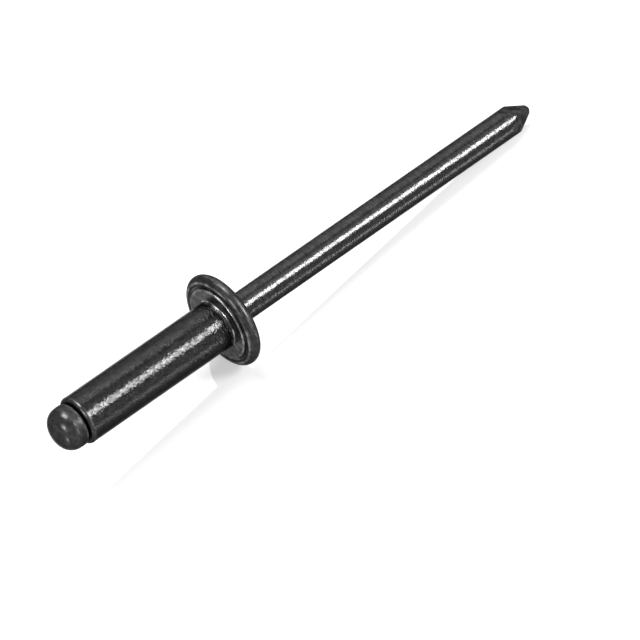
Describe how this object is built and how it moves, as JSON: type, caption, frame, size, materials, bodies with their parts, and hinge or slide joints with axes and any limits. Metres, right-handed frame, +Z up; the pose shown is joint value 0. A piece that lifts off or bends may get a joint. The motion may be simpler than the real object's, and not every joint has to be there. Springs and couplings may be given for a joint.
{
  "type": "blind rivet",
  "caption": "Black steel open-end blind rivet with a domed flange, pre-assembled on its headed and pointed pull mandrel, lying as dropped.",
  "frame": {"origin": "middle of the bounding box, on the ground plane that the flange's rim and the mandrel's point rest on", "axes": "+Z up; +X along the rivet from the mandrel's head to its point, seen from above; the rivet's own axis dips 5.4 degrees below +X; +Y across the rivet, to the left of +X"},
  "size_m": [0.0386, 0.0062, 0.0063],
  "materials": {
    "body_coating": "semi-gloss black with a fine hammered ripple",
    "mandrel_coating": "satin black, with a fine hammered ripple on the shank and a smooth head"
  },
  "bodies": {
    "root": {"rivet_body": "body_coating", "mandrel": "mandrel_coating"}
  },
  "joints": []
}
